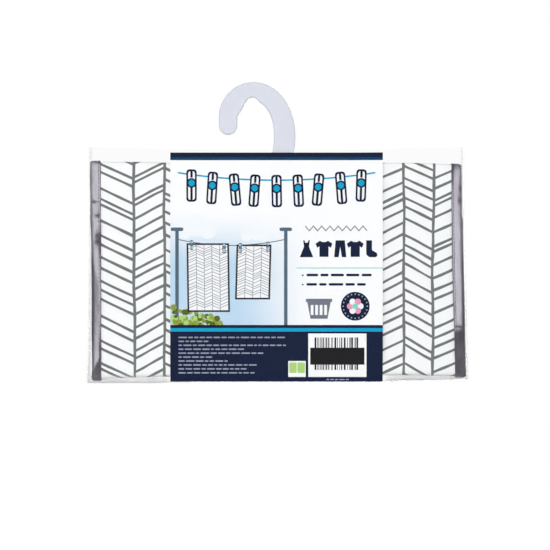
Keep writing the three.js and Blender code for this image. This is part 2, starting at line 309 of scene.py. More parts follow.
def coated_polyester(add, printed):
    """Woven polyester with a thin white coating: a slight gloss over a fine plain weave."""
    at = add("Attribute", attribute_name="cloth_mm").outputs["Vector"]
    cloudy = add("TexNoise", {"Vector": at, "Scale": 1 / 15, "Detail": 2.0})
    tone = two_tones(add, cloudy, *CLOTH_WHITES)
    if printed:
        grain = add("TexNoise", {"Vector": at, "Scale": 1 / INK_SPOT, "Detail": 2.0})
        ink = two_tones(add, grain, *PRINT_GREYS)
        tone = two_tones(add, herringbone(add, at), tone, ink)
    bump = add("Bump", {"Height": weave(add, at), "Strength": 0.25, "Distance": 0.1 * MM})
    coating = {"Base Color": tone, "Roughness": 0.6, "IOR": 1.5, "Specular IOR Level": 0.3, "Normal": bump}
    return add("BsdfPrincipled", coating)


def satin_tape(add):
    """Satin-woven polyester tape: charcoal, with a broad soft shine on its face, which is taken away as
    painted shade where the tape turns from the light.
    """
    at = add("Attribute", attribute_name="tape_mm").outputs["Vector"]
    # the third coordinate is painted shade: it takes the shine and coat away at the packing fold, at the
    # tight outer bend and in creases
    shade_dulling = add("SeparateXYZ", [at]).outputs["Z"]
    drawn_out = add("VectorMath", [at, (0.3, 1.3, 0)], "MULTIPLY")
    patches = add("TexNoise", {"Vector": drawn_out, "Scale": 1 / 6, "Detail": 3.0})
    ribbed = {"Vector": at, "Scale": pi / RIB_PITCH / 10, "Distortion": 0.4}
    ribs = add("TexWave", ribbed)
    shine = {
        "Base Color": two_tones(add, patches, "#19171d", "#736f7a"),
        "Roughness": add("Math", [shade_dulling, 0.3, 0.36], "MULTIPLY_ADD"),
        "IOR": 1.66,
        "Specular IOR Level": add("Math", [shade_dulling, -0.8, 1.0], "MULTIPLY_ADD"),
        "Specular Tint": colour("#f1ecfb"),
        "Coat Weight": add("Math", [shade_dulling, -0.9, 0.9], "MULTIPLY_ADD"),
        "Coat Roughness": 0.32,
        "Coat IOR": 1.55,
        "Normal": add("Bump", {"Height": ribs, "Strength": 0.2, "Distance": 0.12 * MM}),
    }
    return add("BsdfPrincipled", shine)


def spun_thread(add):
    """Spun polyester sewing thread: dark, matt and twisted."""
    at = add("TexCoord").outputs["Object"]
    plies = {"Vector": at, "Scale": pi / PLY_PITCH / 10 / MM}
    twist = add("TexWave", plies, bands_direction="DIAGONAL")
    tone = two_tones(add, twist, "#2e2c32", "#4c4952")
    return add("BsdfPrincipled", {"Base Color": tone, "Roughness": 0.75, "IOR": 1.55})


def moulded_polypropylene(add):
    """Moulded polypropylene in a pale blue-grey: softly translucent, with a fine satin mould grain."""
    at = add("TexCoord").outputs["Object"]
    cloudy = add("TexNoise", {"Vector": at, "Scale": 1 / 22 / MM, "Detail": 2.0})
    grain = add("TexNoise", {"Vector": at, "Scale": 1 / 0.8 / MM, "Detail": 2.0})
    satin = {
        "Base Color": two_tones(add, cloudy, "#d2d5e0", "#d8dbe4"),
        "Roughness": 0.5,
        "IOR": 1.49,
        "Specular IOR Level": 0.2,
        "Subsurface Weight": 0.2,
        "Subsurface Radius": (0.004, 0.004, 0.0045),
        "Subsurface Scale": 0.5,
        "Normal": add("Bump", {"Height": grain, "Strength": 0.15, "Distance": 0.08 * MM}),
    }
    return add("BsdfPrincipled", satin)


def varnish(add, tone):
    """The card's matt varnish over a printed tone."""
    matt = {"Base Color": tone, "Roughness": 0.55, "IOR": 1.5, "Specular IOR Level": 0.03}
    return add("BsdfPrincipled", matt)


def printed_board(add, first, second, spot):
    """Clay-coated card with a matt varnish over its ink, whose tone varies a little from spot to spot."""
    at = add("TexCoord").outputs["Object"]
    mottle = add("TexNoise", {"Vector": at, "Scale": 1 / spot / MM, "Detail": 3.0})
    return varnish(add, two_tones(add, mottle, first, second))


def sky_print(add):
    """The same card where a pale sky is printed, fading to white at the right and the top."""
    at = add("Attribute", attribute_name="card_mm").outputs["Vector"]
    split = add("SeparateXYZ", [at])
    from_right = {"Value": split.outputs["X"], "From Min": 116, "From Max": 50}
    from_top = {"Value": split.outputs["Y"], "From Min": 44, "From Max": 96}
    fades = [add("MapRange", fade, interpolation_type="SMOOTHSTEP") for fade in (from_right, from_top)]
    depth = add("Math", fades, "MULTIPLY")
    haze = add("TexNoise", {"Vector": at, "Scale": 1 / 30, "Detail": 3.0})
    soft = add("Math", [haze, 0.5, 0.7], "MULTIPLY_ADD")
    share = add("Math", [depth, soft], "MULTIPLY")
    return varnish(add, two_tones(add, share, "#f9fafc", "#bdd9ee"))


def clear_film(add):
    """Cast polypropylene film: clear face on, hazier where it turns edge on or is crumpled."""
    turn = add("LayerWeight", {"Blend": 0.5}).outputs["Facing"]
    crumpled = add("Attribute", attribute_name="film_haze").outputs["Fac"]
    slight = {"Value": turn, "From Min": 0.04, "From Max": 0.45, "To Max": 0.3}
    leaning = add("MapRange", slight)
    steep = {"Value": turn, "From Min": 0.45, "To Max": 0.7}
    edge_on = add("MapRange", steep, interpolation_type="SMOOTHSTEP")
    tilted = add("Math", [leaning, edge_on], "ADD")
    dimmed = add("Math", [crumpled, 0.45, tilted], "MULTIPLY_ADD")
    through = add("BsdfTransparent", {"Color": two_tones(add, dimmed, "#fefefe", "#f8f8f8")})
    glossy = {"Base Color": colour("#eeeeef"), "Roughness": 0.16, "IOR": 1.49}
    gloss = add("BsdfPrincipled", glossy)
    glare = add("Math", [tilted, 0.12, 0.0015], "MULTIPLY_ADD")
    haze = add("Math", [crumpled, 0.26, glare], "MULTIPLY_ADD", use_clamp=True)
    return add("MixShader", [haze, through, gloss])


PRINTED_CLOTH = new_material("coated_polyester_print", coated_polyester, True)
PLAIN_CLOTH = new_material("coated_polyester_inside", coated_polyester, False)
TAPE_SATIN = new_material("satin_polyester_tape", satin_tape)
THREAD_SPUN = new_material("spun_polyester_thread", spun_thread)
HANGER_PLASTIC = new_material("moulded_polypropylene", moulded_polypropylene)
FILM_CLEAR = new_material("cast_polypropylene_film", clear_film)

# Making pieces


def make_piece(name, body, points, materials, thickness=0, side=0, lining=0, faces=None):
    """A smooth mesh piece riding on a body. Its thickness lies to both sides where side is 0.

    lining is how many material slots later the far side and the rim are. Without faces, the points are a
    grid."""
    faces = grid_faces(*points.shape[:2]) if faces is None else faces
    mesh = bpy.data.meshes.new(name)
    mesh.from_pydata(place(points).reshape(-1, 3).tolist(), [], [[int(i) for i in face] for face in faces])
    for material in materials:
        mesh.materials.append(material)
    mesh.shade_smooth()
    uses = np.bincount([loop.edge_index for loop in mesh.loops])
    for edge in mesh.edges:
        edge.use_edge_sharp = bool(uses[edge.index] == 1)  # cut edges stay crisp
    piece = new_object(name, mesh)
    if thickness:
        solid = piece.modifiers.new("thickness", "SOLIDIFY")
        solid.thickness = thickness * MM
        solid.offset = side
        solid.material_offset = lining
        solid.material_offset_rim = lining
    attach(piece, body)
    return piece


def grid_faces(rows, columns, keep=None):
    """Quads over a grid of points, only where keep is true if it is given."""
    corner = np.arange(rows * columns).reshape(rows, columns)
    quads = np.stack([corner[:-1, :-1], corner[1:, :-1], corner[1:, 1:], corner[:-1, 1:]], axis=-1)
    return quads.reshape(-1, 4) if keep is None else quads[keep]


def note(piece, name, values):
    """Keeps a flat coordinate in millimetres at each point, for the piece's material."""
    attribute = piece.data.attributes.new(name, "FLOAT_VECTOR", "POINT")
    attribute.data.foreach_set("vector", np.asarray(values, np.float32).ravel())


# Cloth

WAVE_DEPTH = 0.55
WAVE_SIZE = 46, 58  # across and down
WAVE_START = 22  # drop over which the cloth comes loose, below the hanger's bar
PUCKER_DEPTH = 0.16
PUCKER_PITCH = 7.5
PUCKER_REACH = 5  # how far in from the tape they die out
BEHIND_DRIFT = 0.14  # how far the flat cloth behind strays
POCKET_FOLD_RISE = 2.2  # the pocket front's fold lies inside the back panel's


def held_in(x):
    """How much the bound side edge holds the cloth, from 0 inside to 1 at the edge."""
    return ease(np.abs(x), BAG_HALF - PINCH_WIDTH, BAG_HALF)


def pinched(z):
    """How far the bound edges pull both cloths together at the heights z, 0 to 1."""
    return ease(-np.asarray(z, float), *PINCH_DROPS)


def turned(angle, square):
    """A point on a unit circle that is squarer for a smaller exponent."""
    across, up = cos(angle), sin(angle)
    return copysign(abs(across) ** square, across), copysign(abs(up) ** square, up)


def half_turn(x, y, z, radius, start, steps, square):
    """Rows round a fold, through half a turn from the angle start."""
    corners = [turned(start + pi * k / (steps + 1), square) for k in range(1, steps + 1)]
    return [xyz(x, y + radius * across, z + radius * up) for across, up in corners]


def packing_fold(x, near_y, far_y, rise, steps):
    """Height at which a cloth starts to turn at the packing fold, and its rows round that fold."""
    radius = (far_y - near_y) / 2
    start_z = FOLD_Z + rise + radius
    return start_z, half_turn(x, (far_y + near_y) / 2, start_z, radius, pi, steps, FOLD_SQUARE)


def flap_drop(x):
    """Top fold to the flap's lower edge, less at its rounded corners."""
    along = np.sqrt(np.clip((CLOTH_HALF - np.abs(x)) / FLAP_CORNER, 0, 1))
    return FLAP_DROP - (FLAP_DROP - FLAP_SIDE) * (1 - along) ** 2


def waves(x, z, seed):
    """Soft waves of the loose cloth, in from its flat face, and puckers beside the bound edges."""
    loose = ease(-z, -BAR_CLEAR_Z, -BAR_CLEAR_Z + WAVE_START)
    broad = WAVE_DEPTH * (1 + drift(seed, x / WAVE_SIZE[0], z / WAVE_SIZE[1]))
    beside = np.exp(-np.clip(BAG_HALF - BINDING_WIDTH - np.abs(x), 0, None) / PUCKER_REACH)
    uneven = 3 * drift(seed + 1, x / 30, z / 24)
    pucker = PUCKER_DEPTH * (1 + np.sin(z * tau / PUCKER_PITCH + uneven))
    return loose * (broad + beside * pucker)


def back_panel():
    """One cloth from the flap, over the top fold, down the front, round the packing fold and up behind."""
    x = np.unique(np.concatenate([np.linspace(-CLOTH_HALF, CLOTH_HALF, 91), SLIT]))
    edge_y = UPPER_BACK_Y + PINCH * held_in(x)
    fold_z, fold_rows = packing_fold(x, edge_y, LOWER_BACK_Y, 0, 13)
    top_steps = 13
    rows = [xyz(x, FLAP_Y, z) for z in np.linspace(-flap_drop(x), TOP_ARC_Z, 16)]
    top_start = len(rows)
    rows += half_turn(x, TOP_Y, TOP_ARC_Z, TOP_RADIUS, 0, top_steps, TOP_SQUARE)
    top_end = len(rows)
    for t in np.linspace(0, 1, 56):
        z = TOP_ARC_Z * (1 - t) + fold_z * t
        loose = waves(x, z, 3.0) * (1 - ease(t, 0.9, 1))
        rows.append(xyz(x, UPPER_BACK_Y + PINCH * held_in(x) * pinched(z) + loose, z))
    rows += fold_rows
    for z in np.linspace(fold_z, BOTTOM_EDGE_Z, 40):
        rows.append(xyz(x, LOWER_BACK_Y + BEHIND_DRIFT * drift(7.0, x / 40, z / 40), z))
    turn_radius = (LOWER_BACK_Y - LOWER_FRONT_Y) / 2
    rows += half_turn(x, LOWER_FRONT_Y + turn_radius, BOTTOM_EDGE_Z, turn_radius, 0, 4, 1)
    points = np.array(rows)

    middle_x, middle_y, _ = np.moveaxis((points[:-1, :-1] + points[1:, 1:]) / 2, -1, 0)
    in_slit = (middle_x > SLIT[0]) & (middle_x < SLIT[1]) & (np.abs(middle_y) < SLIT_HALF)
    in_slit[:top_start] = False
    in_slit[top_end:] = False
    faces = grid_faces(*points.shape[:2], ~in_slit)
    materials = [PRINTED_CLOTH, PLAIN_CLOTH]
    piece = make_piece("back_panel_cloth", "bag", settle(points), materials, CLOTH, 0, 1, faces)

    # the side edges were stretched a little when they were bound, which widens the outermost columns
    x, _, z = np.moveaxis(points, -1, 0)
    stretch_left = 3.6 * ease(-x, 114, 141) - 0.7 * ease(-x, 95, 112)
    stretch_right = (1.2 + 2.0 * np.clip(z / FOLD_Z, 0, 1)) * ease(x, 100, 124)
    across = x + stretch_left + stretch_right
    length = run_length(points)
    slant_kept = LINE_SLOPE * stretch_left
    along = length - length[top_start + top_steps // 2] + slant_kept
    note(piece, "cloth_mm", xyz(across, along, 0))
    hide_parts("back_panel")
    return piece


def front_panel():
    """The pocket's front, from its mouth, round inside the packing fold to the bottom edge."""
    x = np.linspace(-CLOTH_HALF, CLOTH_HALF, 61)
    edge_y = POCKET_Y - PINCH * held_in(x)
    fold_z, fold_rows = packing_fold(x, edge_y, LOWER_FRONT_Y, POCKET_FOLD_RISE, 9)
    heights = np.linspace(MOUTH_Z, fold_z, 30)
    rows = [xyz(x, POCKET_Y - PINCH * held_in(x) * pinched(z), z) for z in heights]
    rows += fold_rows
    rows += [xyz(x, LOWER_FRONT_Y, z) for z in np.linspace(fold_z, BOTTOM_EDGE_Z - CLOTH, 26)]
    points = np.array(rows)
    materials = [PLAIN_CLOTH, PRINTED_CLOTH]
    piece = make_piece("pocket_front_cloth", "bag", settle(points), materials, CLOTH, 0, 1)
    note(piece, "cloth_mm", xyz(points[..., 0], run_length(points), 0))
    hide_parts("front_panel")
    return piece


# Binding tapes and their seams

LEG_SHARES = 0, 0.03, 0.08, 0.15, 0.24, 0.35, 0.5, 0.65, 0.76, 0.85, 0.92, 0.97, 1  # closer at its edges
NOSE_INSET = 0.3  # the tape starts to turn this far in from the cloth's edge
NOSE_OUT = 0.65  # and its fold bulges this far
LEVEL_IN = 6.2  # a side tape's face is level to here, and stands off the cloth's sloping edge
EDGE_SHADE_SOFT = 0.1  # half the width of the change from shine to painted shade at the folded edge, as a share of the tape's width
SHADE_RISE = 36  # how far up behind the pack the painted shade that takes the tape's shine away reaches
STITCH_PITCH = 3.2
STITCH_LENGTH = 2.5
STITCH_RADIUS = 0.3
STITCH_SIDES = 6
STITCH_RINGS = 5


def bound_edge(
    name, edge, inward, outward, wide, reach_out, reach_in, puff,
    dents=(), roll=0, shade_dulling=None, nose_out=NOSE_OUT,
):
    """A tape folded round a cloth's edge, as a strip along the points of edge, and its seam.

    wide is how far its legs reach in from the edge. reach_out(a) and reach_in(a) are how far its outer and
    inner leg lie from the middle of the cloth, a millimetres in from the edge. A dent is its length along
    the tape, its place across from 0 at the inner edge to 1, its half length, its half width and its depth.
    roll is how far the outer edge is rolled back. The dulling function of t gives, from 0 to 1, how far the
    shine is taken away at a place across: painted shade where the tape turns from the light. Each dent also
    takes the shine away, as painted shade in its crease. nose_out is how far its fold bulges."""
    along = run_length(edge)
    width = wide + 0.2 * drift(11.0, along / 17, 0)

    def dented(t, at, across, long, broad):
        """1 in the middle of a dent, and less away from it."""
        return np.exp(-1.2 * np.abs(along - at) / long - ((t - across) / broad) ** 2)

    def outer_leg(t):
        """Distance in from the edge and out from the cloth, at the share t from inner edge to outer."""
        a = width * (1 - t) + NOSE_INSET * t
        crown = puff * (1 - abs(2 * t - 1) ** 4) ** 0.5
        ripple = 0.13 * drift(13.0, along / 7, t * 2.2) + 0.07 * drift(14.0, along / 2.6, t * 3)
        b = reach_out(a) + crown + ripple - roll * t
        for *spot, depth in dents:
            b = b - depth * dented(t, *spot)
        return a, np.maximum(b, reach_in(a))

    def shade_dulled(t):
        """How much shine is taken away at a place across: painted shade in the creases and where the tape
        turns from the light.
        """
        crease_shade = sum((dented(t, *spot) for *spot, _ in dents), 0 * along)
        return np.clip(1.5 * crease_shade + (shade_dulling(t) if shade_dulling else 0), 0, 1)

    columns = [outer_leg(t) for t in LEG_SHARES]
    shade_dullness = [shade_dulled(t) for t in LEG_SHARES]
    nose = columns[-1][1]
    inner = reach_in(0 * along)
    for turn in np.linspace(0, pi, 7)[1:-1]:
        a = NOSE_INSET - nose_out * np.sin(turn) + 0.12 * drift(15.0, along / 8, turn)
        columns.append((a, (nose - inner) / 2 + (nose + inner) / 2 * cos(turn)))
    for t in np.linspace(0, 1, 4):
        a = NOSE_INSET * (1 - t) + width * t
        columns.append((a, -reach_in(a)))
    shade_dullness += [shade_dullness[-1]] * (len(columns) - len(shade_dullness))
    points = np.stack([edge + inward * a[:, None] + outward * b[:, None] for a, b in columns], axis=1)
    tape = make_piece(f"{name}_tape", "bag", settle(points), [TAPE_SATIN], TAPE)
    across = run_length(points.swapaxes(0, 1)).T
    # the third coordinate carries the painted shade that takes the tape's shine away
    note(tape, "tape_mm", xyz(along[:, None], across, np.stack(shade_dullness, axis=1)))
    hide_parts(f"{name}_binding")
    a, b = outer_leg(SEAM_INSET / BINDING_WIDTH)
    seam_line = edge + inward * a[:, None] + outward * (b + TAPE / 2)[:, None]
    return tape, stitches(name, seam_line, outward)


def stitches(name, line, outward):
    """A row of single stitches along a line of points."""
    along = run_length(line)
    shares = np.linspace(0, 1, STITCH_RINGS)
    bulge = np.sin(pi * shares)[:, None]
    angles = tau * np.arange(STITCH_SIDES)[:, None] / STITCH_SIDES
    points = []
    faces = []
    for start in np.arange(STITCH_PITCH / 2, along[-1] - STITCH_LENGTH, STITCH_PITCH):
        spots = start + STITCH_LENGTH * shares
        middle = np.stack([np.interp(spots, along, part) for part in line.T], axis=-1)
        up = np.stack([np.interp(spots, along, part) for part in outward.T], axis=-1)
        beside = np.cross(headings(middle[[0, -1]])[0], up)
        centre = middle + up * (0.16 * bulge - 0.05)
        round_it = beside[:, None] * np.cos(angles) + up[:, None] * np.sin(angles)
        rings = centre[:, None] + STITCH_RADIUS * (0.35 + 0.65 * bulge)[:, None] * round_it
        corner = len(points) + np.arange(STITCH_RINGS * STITCH_SIDES).reshape(STITCH_RINGS, STITCH_SIDES)
        after = np.roll(corner, -1, axis=1)
        faces += [*np.stack([corner[:-1], after[:-1], after[1:], corner[1:]], axis=-1).reshape(-1, 4)]
        faces += [corner[0][::-1], corner[-1]]
        points += [*rings.reshape(-1, 3)]
    seam = make_piece(f"{name}_stitches", "bag", settle(points), [THREAD_SPUN], faces=faces)
    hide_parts(f"{name}_seam_thread")
    return seam


def side_binding(side, widths, dents, rolls, shaded_edges, noses, twist, slant):
    """The tape and seam down one side, from the top fold down the front, round the packing fold and behind.

    Widths, dents, rolls, the shares of shaded edge and noses are placed by their drop from the top fold.
    The share of shaded edge is how much of the tape's width, from its folded edge, has its shine taken away
    as painted shade of the tight bend, and noses are how far that edge bulges. Below the drop twist, the
    tape's shine is taken away as painted shade where it turns from the light; slant is how much higher that
    starts at the tape's inner edge. Round the packing fold and up behind the pack the same painted shade
    goes on and fades out."""
    back_y = (LOWER_FRONT_Y + LOWER_BACK_Y) / 2
    edge_y = UPPER_BACK_Y + PINCH
    fold_z = FOLD_Z + (LOWER_BACK_Y - edge_y) / 2
    radius = back_y / 2
    path = [(FLAP_Y, TOP_ARC_Z - 2), (FLAP_Y, TOP_ARC_Z - 1)]
    top_turns = [turned(angle, TAPE_SQUARE) for angle in np.linspace(0, pi, 11)]
    path += [(TOP_Y + TOP_RADIUS * across, TOP_ARC_Z + TOP_RADIUS * up) for across, up in top_turns]
    front_start = len(path)
    path += [(UPPER_BACK_Y * (1 - pinched(z)), z) for z in np.linspace(TOP_ARC_Z, fold_z, 260)[1:]]
    fold_start = len(path)
    fold_turns = [turned(angle, FOLD_SQUARE) for angle in np.linspace(0, pi, 13)[1:]]
    path += [(radius - radius * across, fold_z - radius * up) for across, up in fold_turns]
    back_start = len(path)
    path += [(back_y, z) for z in np.linspace(fold_z, BOTTOM_EDGE_Z + 0.4, 80)[1:]]
    path = np.array(path)
    y, z = path.T
    order = np.arange(len(path))
    on_front = (order >= front_start) & (order < fold_start)
    ahead = headings(path)
    outward = xyz(0, ahead[:, 1], -ahead[:, 0])
    inward = xyz(-side, 0 * y, 0)
    edge = xyz(side * CLOTH_HALF, y, z)

    pinch = np.where(order < front_start, 0, pinched(z))
    behind = np.interp(order, [fold_start, back_start], [0, 1])
    half = pinch * ((1 - behind) * -edge_y + behind * (LOWER_BACK_Y - back_y))
    base = (CLOTH + TAPE) / 2 + 0.08

    def reach_out(a):
        slope = PINCH * (1 - held_in(CLOTH_HALF - np.maximum(a, LEVEL_IN)))
        return base + half + slope * pinch * (1 - behind) * np.abs(outward[:, 1])

    def reach_in(a):
        return base + half + 0 * a

    # painted shade: the tape's shine and coat are taken away below the drop twist, near its folded edge and
    # round the packing fold
    def shade_dulling(t):
        start = twist + slant * (t - 0.5) + 1.5 * drift(17.0 + side, t * 3, 0)
        low_shade = ease(-z, start - 1.5, start + 2)
        edge_shade = ease(t, 1 - bare - EDGE_SHADE_SOFT, 1 - bare + EDGE_SHADE_SOFT)
        shade_behind = 1 - ease(z, fold_z + SHADE_RISE / 2, fold_z + SHADE_RISE)
        return np.where(order >= fold_start, shade_behind, np.maximum(low_shade, edge_shade) * on_front)

    wide, roll, bare, nose = [read_off(pairs, -z) for pairs in (widths, rolls, shaded_edges, noses)]
    puff = 0.4 + 0.5 * pinch * (1 - behind)
    over_top = run_length(path)[front_start - 1] + TOP_ARC_Z
    placed = [(over_top + drop, *rest) for drop, *rest in dents]
    name = "left" if side < 0 else "right"
    legs = wide, reach_out, reach_in, puff
    return bound_edge(name, edge, inward, outward, *legs, placed, roll * on_front, shade_dulling, nose)


def flat_binding(name, edge, inward):
    """The tape and seam of a cloth that lies flat in the pack."""
    outward = np.tile([0, 1, 0], (len(edge), 1))

    def reach(a):
        return (CLOTH + TAPE) / 2 + 0.05 + 0 * a

    return bound_edge(name, edge, inward, outward, BINDING_WIDTH - TAPE, reach, reach, 0.12)


def flap_binding():
    """The tape and seam down the flap's sides, round its corners and along its lower edge."""
    corner = -CLOTH_HALF + FLAP_CORNER * np.linspace(0, 1, 16) ** 2
    x = np.concatenate([corner, np.linspace(corner[-1], -corner[-1], 90)[1:-1], -corner[::-1]])
    lower = np.stack([x, -flap_drop(x)], axis=-1)
    upper_z = TOP_ARC_Z - 2.5
    down = np.linspace((-CLOTH_HALF, upper_z), lower[0], 16)[:-1]
    up = np.linspace(lower[-1], (CLOTH_HALF, upper_z), 16)[1:]
    path = np.concatenate([down, lower, up])
    ahead = headings(path)
    inward = xyz(-ahead[:, 1], 0, ahead[:, 0])
    return flat_binding("flap", xyz(path[:, 0], FLAP_Y, path[:, 1]), inward)


def mouth_binding():
    """The tape and seam along the pocket's mouth."""
    half = node_box("mouth_binding")[1].x
    x = np.linspace(-half, half, 90)
    inward = np.tile([0, 0, -1], (len(x), 1))
    return flat_binding("mouth", xyz(x, POCKET_Y, MOUTH_Z), inward)


back_cloth = back_panel()
front_cloth = front_panel()
left_tape, left_seam = side_binding(
    side=-1,
    widths=[(0, 7.8), (55, 7.6), (75, 7.1), (174, 6.8)],
    # each dent also takes the shine away, as painted shade in its crease
    dents=[
        (33, 0.75, 1.0, 0.35, 0.5),
        (44.4, 0.3, 1.2, 0.3, 0.4),
        (60.5, 0.25, 2.4, 0.34, 0.7),
        (65.2, 0.3, 3.2, 0.32, 1.2),
        (71, 0.02, 6, 0.12, 0.3),
        (150, 0.0, 9, 0.2, 0.4),
    ],
    rolls=[(0, 0), (80, 0), (100, 1.2), (130, 1.0), (150, 0.2), (174, 0)],
    # the share of the tape's width, from its folded edge, whose shine is taken away as painted shade of its
    # tight bend
    shaded_edges=[(0, 0), (70, 0.02), (92, 0.28), (125, 0.24), (150, 0.1), (174, 0)],
    noses=[(0, 0.65), (166, 0.65), (174, 1.4)],
    # below this drop the tape's shine is taken away as painted shade, where it turns from the light
    twist=161,
    slant=12,
)
right_tape, right_seam = side_binding(
    side=1,
    widths=[(0, 7.8), (105, 7.7), (150, 6.9), (174, 6.9)],
    dents=[
        # each dent also takes the shine away, as painted shade in its crease
        (1, 0.05, 8, 0.36, 0.4),
        (12, 0.02, 9, 0.12, 0.4),
        (21.4, 0.97, 3, 0.16, 0.6),
        (31.5, 0.94, 3.4, 0.24, 0.7),
        (134, 0.5, 1.0, 0.6, 0.4),
    ],
    rolls=[(0, -0.2), (40, -0.2), (104, -0.3), (130, -0.2), (174, 0)],
    # the share of the tape's width, from its folded edge, whose shine is taken away as painted shade of its
    # tight bend
    shaded_edges=[(0, -0.04), (60, -0.02), (95, 0.14), (135, 0.2), (174, 0)],
    noses=[(0, 0.5), (45.5, 0.4), (46.5, 1.2), (90, 0.8), (165, 0.65), (174, 1.1)],
    # below this drop the tape's shine is taken away as painted shade, where it turns from the light
    twist=136,
    slant=-3,
)
flap_tape, flap_seam = flap_binding()
mouth_tape, mouth_seam = mouth_binding()

# Hanger

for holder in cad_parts["hanger"].material_slots:
    holder.material = HANGER_PLASTIC

# Card, drawn flat: x from its left edge, y down its front, under the base and up its back

CARD_WIDTH = card_high.x - card_low.x
CARD_FRONT = card_high.z - card_low.z
CARD_DEPTH = card_high.y - card_low.y
CARD_FOLD = 1.0  # radius of its folds
QUARTER_TURN = CARD_FOLD * pi / 2
CARD_RUN = 2 * CARD_FRONT + CARD_DEPTH + 2 * (QUARTER_TURN - 2 * CARD_FOLD)
CURL_DROP = 40  # the curl of its side edges dies out this far above its lower fold
BEND_STEP = 6  # longest straight edge in its print
FOOT_TOP = 138  # top of the dark foot

# two tones of each ink and the size of the spots in which they mix; the last is the bare inside
INK_TONES = {
    "board": ("#f8f9fb", "#fbfcfd", 12),
    "navy": ("#141e39", "#18233f", 5),
    "blue": ("#133c5e", "#1a4567", 5),
    "cyan": ("#129ec8", "#1aa7d0", 5),
    "teal": ("#86d2cc", "#90d8d0", 5),
    "slate": ("#4a6070", "#5c7282", 4),
    "grey": ("#6d7280", "#7b808d", 4),
    "mist": ("#8e96ab", "#9ca3b6", 3),
    "line": ("#2a2b31", "#34353b", 3),
    "linen": ("#eef0f4", "#fafbfc", 8),
    "cloud": ("#eaf2f8", "#f8fafc", 9),
    "grass": ("#6f7f2c", "#aebb55", 2.5),
    "moss": ("#4d5c22", "#63732c", 2.5),
    "leaf": ("#a6cf74", "#b6da86", 3),
    "black": ("#1b1b1d", "#232325", 5),
    "rose": ("#e394b4", "#eaa4c0", 3),
    "raw": ("#d9d6cf", "#e4e1db", 3),
}
INKS = {"sky": new_material("varnished_card_sky", sky_print)}
for ink, tones in INK_TONES.items():
    INKS[ink] = new_material(f"varnished_card_{ink}", printed_board, *tones)
chance = np.random.default_rng(5)

# garment outlines, one unit high
SHIRT = [(-0.5, -0.3), (-0.24, -0.48), (-0.1, -0.4), (0.1, -0.4), (0.24, -0.48), (0.5, -0.3)]
SHIRT += [(0.4, -0.06), (0.27, -0.14), (0.27, 0.48), (-0.27, 0.48), (-0.27, -0.14), (-0.4, -0.06)]
TROUSERS = [(-0.27, -0.5), (0.27, -0.5), (0.36, 0.5), (0.1, 0.5), (0, -0.12), (-0.1, 0.5), (-0.36, 0.5)]
DRESS = [(-0.2, -0.5), (-0.11, -0.5), (-0.08, -0.36), (0.08, -0.36), (0.11, -0.5), (0.2, -0.5)]
DRESS += [(0.15, -0.12), (0.4, 0.5), (-0.4, 0.5), (-0.15, -0.12)]
SOCK = [(-0.24, -0.5), (0.1, -0.5), (0.1, 0.08), (0.4, 0.26), (0.42, 0.42), (0.32, 0.5), (-0.06, 0.5)]
SOCK += [(-0.24, 0.34)]


def bar(x, y, width, height):
    return [(x, y), (x + width, y), (x + width, y + height), (x, y + height)]


def disc(x, y, radius, points=28):
    angles = [tau * i / points for i in range(points)]
    return [(x + radius * cos(a), y + radius * sin(a)) for a in angles]


def pill(x, y, width, height, round_by):
    """A bar with rounded corners."""
    left, right = x + round_by, x + width - round_by
    top, low = y + round_by, y + height - round_by
    outline = []
    for turn, (cx, cy) in enumerate([(right, low), (left, low), (left, top), (right, top)]):
        for step in range(5):
            angle = pi / 2 * (turn + step / 4)
            outline.append((cx + round_by * cos(angle), cy + round_by * sin(angle)))
    return outline


def shifted(outline, x, y, angle=0.0):
    """An outline turned about its own origin and moved."""
    c, s = cos(angle), sin(angle)
    return [(x + c * px - s * py, y + s * px + c * py) for px, py in outline]


def peg(x, y, size, angle=0.0):
    """A spring peg that hangs from the point, size millimetres long."""
    wide, rim, slot, top = 0.32 * size, 0.055 * size, 0.07 * size, -0.16 * size
    shapes = [
        ("navy", pill(-wide / 2, top, wide, size, 0.3 * wide)),
        ("linen", pill(-wide / 2 + rim, top + rim, wide - 2 * rim, size - 2 * rim, 0.25 * wide)),
        ("navy", bar(-slot / 2, 0.36 * size, slot, 0.48 * size - rim)),
        ("navy", bar(-slot / 2, top + rim, slot, 0.2 * size)),
        ("navy", disc(0, 0.26 * size, 0.15 * size, 20)),
        ("cyan", disc(0, 0.26 * size, 0.1 * size, 20)),
    ]
    return [(ink, shifted(outline, x, y, angle)) for ink, outline in shapes]


def dashes(x, y, width, height, ink):
    """A line of small bars with round ends and uneven lengths."""
    shapes = []
    at = x
    while at < x + width - 2 * height:
        long = min(chance.uniform(2.2, 6.5) * height, x + width - at)
        shapes.append((ink, pill(at, y, long, height, 0.45 * height)))
        at += long + 0.9 * height
    return shapes


def sagging(x0, x1, y, sag, thick):
    """A thin line that hangs between two points at the same height."""
    shares = [i / 24 for i in range(25)]
    line = [(x0 + (x1 - x0) * t, y + 4 * sag * t * (1 - t)) for t in shares]
    return line + [(px, py + thick) for px, py in reversed(line)]


